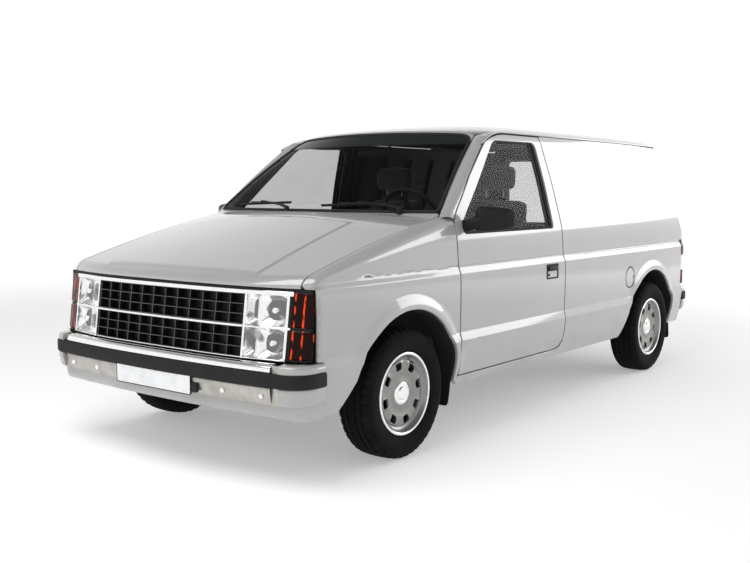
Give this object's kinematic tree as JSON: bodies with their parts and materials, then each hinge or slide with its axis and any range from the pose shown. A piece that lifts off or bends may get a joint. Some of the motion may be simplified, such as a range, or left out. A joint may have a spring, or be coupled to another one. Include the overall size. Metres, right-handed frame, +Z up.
{
  "type": "panel-sided minivan",
  "caption": "Compact minivan with blank load-space sides, square nose, black grille, stacked headlamps, bright bumpers, hinged front doors, sliding side door and liftgate.",
  "frame": {"origin": "on the ground, under the middle of the van's overall length and width", "axes": "+Z up; the front faces -Y; +X is the van's own left (driver's side)"},
  "size_m": [2.116, 4.468, 1.64],
  "materials": {
    "paint": "gloss",
    "chrome": "bright",
    "wheel_steel": "satin silver",
    "tyre": "matte",
    "glass": "clear, light tint",
    "clear_lens": "clear",
    "red_lens": "gloss",
    "black_plastic": "matte",
    "seat_fabric": "woven",
    "underbody": "matte",
    "cast_metal": "dull"
  },
  "bodies": {
    "body": {"body_side_left": "paint", "body_side_right": "paint", "sliding_door": "paint", "roof_panel": "paint", "cowl_panel": "paint", "front_wing_left": "paint", "front_wing_right": "paint", "nose_panel": "paint", "windscreen": "glass", "front_bumper": "chrome", "rear_bumper": "chrome", "grille": "black_plastic", "headlamp_left": "clear_lens", "headlamp_right": "clear_lens", "turn_signal_left": "red_lens", "turn_signal_right": "red_lens", "tail_lamp_left": "red_lens", "tail_lamp_right": "red_lens", "wiper_left": "black_plastic", "wiper_right": "black_plastic", "dashboard": "black_plastic", "driver_seat": "seat_fabric", "passenger_seat": "seat_fabric", "floor_pan": "underbody", "front_structure": "underbody", "fuel_tank": "underbody", "engine_block": "cast_metal", "front_subframe": "cast_metal", "exhaust": "cast_metal", "rear_axle": "cast_metal"},
    "front_door_left": {"front_door_left": "paint", "door_glass_left": "glass", "door_mirror_left": "black_plastic"},
    "front_door_right": {"front_door_right": "paint", "door_glass_right": "glass", "door_mirror_right": "black_plastic"},
    "bonnet": {"bonnet": "paint"},
    "liftgate": {"liftgate": "paint", "liftgate_glass": "glass"},
    "fuel_door": {"fuel_door": "paint"},
    "steering_wheel": {"steering_wheel": "black_plastic"},
    "knuckle_left": {"knuckle_left": "cast_metal"},
    "knuckle_right": {"knuckle_right": "cast_metal"},
    "wheel_front_left": {"wheel_front_left": "wheel_steel", "tyre_front_left": "tyre"},
    "wheel_front_right": {"wheel_front_right": "wheel_steel", "tyre_front_right": "tyre"},
    "wheel_rear_left": {"wheel_rear_left": "wheel_steel", "tyre_rear_left": "tyre"},
    "wheel_rear_right": {"wheel_rear_right": "wheel_steel", "tyre_rear_right": "tyre"}
  },
  "joints": [
    {"name": "front_door_left_hinge", "type": "hinge", "parent": "body", "child": "front_door_left", "pos_m": [0.876, -1.055, 0.7], "axis": [0, 0, -1], "range_deg": [0, 68]},
    {"name": "front_door_right_hinge", "type": "hinge", "parent": "body", "child": "front_door_right", "pos_m": [-0.876, -1.055, 0.7], "axis": [0, 0, 1], "range_deg": [0, 68]},
    {"name": "bonnet_hinge", "type": "hinge", "parent": "body", "child": "bonnet", "pos_m": [0, -1.135, 1.15], "axis": [-1, 0, 0], "range_deg": [0, 48]},
    {"name": "liftgate_hinge", "type": "hinge", "parent": "body", "child": "liftgate", "pos_m": [0, 1.835, 1.626], "axis": [1, 0, 0], "range_deg": [0, 82]},
    {"name": "fuel_door_hinge", "type": "hinge", "parent": "body", "child": "fuel_door", "pos_m": [0.871, 0.994, 0.682], "axis": [0, 0, -1], "range_deg": [0, 95]},
    {"name": "knuckle_left_steer", "type": "hinge", "parent": "body", "child": "knuckle_left", "pos_m": [0.7, -1.425, 0.31], "axis": [0, 0, 1], "range_deg": [-33, 33]},
    {"name": "knuckle_right_steer", "type": "hinge", "parent": "body", "child": "knuckle_right", "pos_m": [-0.7, -1.425, 0.31], "axis": [0, 0, 1], "range_deg": [-33, 33]},
    {"name": "steering_wheel_turn", "type": "hinge", "parent": "body", "child": "steering_wheel", "pos_m": [0.385, -0.735, 1.098], "axis": [0, 0.8776, 0.4794], "range_deg": [-540, 540]},
    {"name": "wheel_front_left_roll", "type": "hinge", "parent": "knuckle_left", "child": "wheel_front_left", "pos_m": [0.7605, -1.425, 0.31], "axis": [1, 0, 0], "continuous": true},
    {"name": "wheel_front_right_roll", "type": "hinge", "parent": "knuckle_right", "child": "wheel_front_right", "pos_m": [-0.7605, -1.425, 0.31], "axis": [1, 0, 0], "continuous": true},
    {"name": "wheel_rear_left_roll", "type": "hinge", "parent": "body", "child": "wheel_rear_left", "pos_m": [0.7885, 1.42, 0.31], "axis": [1, 0, 0], "continuous": true},
    {"name": "wheel_rear_right_roll", "type": "hinge", "parent": "body", "child": "wheel_rear_right", "pos_m": [-0.7885, 1.42, 0.31], "axis": [1, 0, 0], "continuous": true}
  ],
  "couplings": [
    {"joint": "knuckle_right_steer", "follows": "knuckle_left_steer", "ratio": 1},
    {"joint": "steering_wheel_turn", "follows": "knuckle_left_steer", "ratio": 16}
  ]
}
